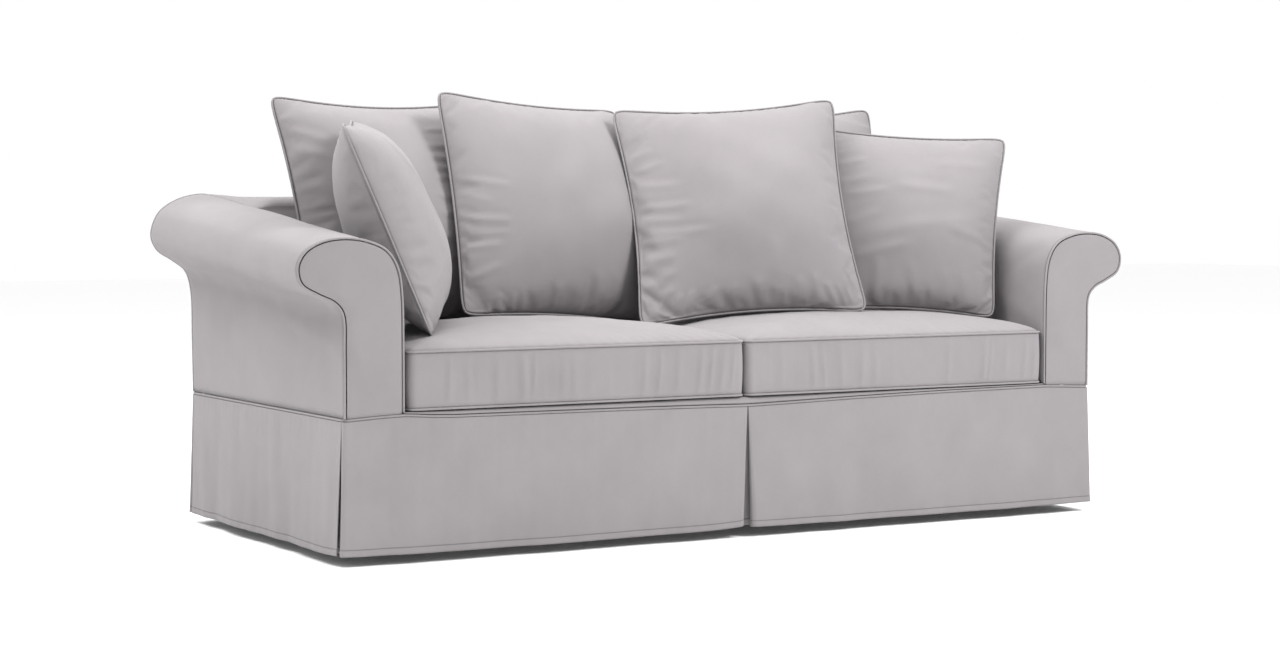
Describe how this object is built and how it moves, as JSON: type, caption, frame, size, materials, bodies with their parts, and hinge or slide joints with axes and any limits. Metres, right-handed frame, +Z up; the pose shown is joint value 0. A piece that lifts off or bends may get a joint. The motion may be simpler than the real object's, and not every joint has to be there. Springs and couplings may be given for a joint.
{
  "type": "sofa slipcover",
  "caption": "Loose cover set for a sofa with rolled arms: piped body cover with a pleated skirt that reaches the floor, and matching filled cushions.",
  "frame": {"origin": "middle of the underside of the seat deck, across the width and between the front and the back face, 0.334 m above the floor", "axes": "+X to the right seen from the front, +Y to the back, +Z up"},
  "size_m": [2.3022, 0.9687, 1.0537],
  "materials": {
    "cover_cloth": "matte woven cloth, warm light grey",
    "cushion_cloth": "matte woven cloth, warm light grey",
    "piping_cloth": "the same cloth rolled over a cord"
  },
  "bodies": {
    "root": {"arm_front_left": "cover_cloth", "arm_front_piping_left": "piping_cloth", "arm_front_piping_right": "piping_cloth", "arm_front_right": "cover_cloth", "arm_left": "cover_cloth", "arm_right": "cover_cloth", "back_cushion_1": "cushion_cloth", "back_cushion_1_piping": "piping_cloth", "back_cushion_2": "cushion_cloth", "back_cushion_2_piping": "piping_cloth", "back_cushion_3": "cushion_cloth", "back_cushion_3_piping": "piping_cloth", "back_cushion_4": "cushion_cloth", "back_cushion_4_piping": "piping_cloth", "back_inside": "cover_cloth", "back_outside": "cover_cloth", "back_piping": "piping_cloth", "seat_cushion_left": "cushion_cloth", "seat_cushion_left_piping_bottom": "piping_cloth", "seat_cushion_left_piping_top": "piping_cloth", "seat_cushion_right": "cushion_cloth", "seat_cushion_right_piping_bottom": "piping_cloth", "seat_cushion_right_piping_top": "piping_cloth", "seat_deck": "cover_cloth", "skirt_back": "cover_cloth", "skirt_front_left": "cover_cloth", "skirt_front_right": "cover_cloth", "skirt_piping": "piping_cloth", "skirt_side_left": "cover_cloth", "skirt_side_right": "cover_cloth", "small_cushion_left": "cushion_cloth", "small_cushion_left_piping": "piping_cloth", "small_cushion_right": "cushion_cloth", "small_cushion_right_piping": "piping_cloth", "underlay_back_left": "cover_cloth", "underlay_back_right": "cover_cloth", "underlay_front_left": "cover_cloth", "underlay_front_middle": "cover_cloth", "underlay_front_right": "cover_cloth"}
  },
  "joints": []
}
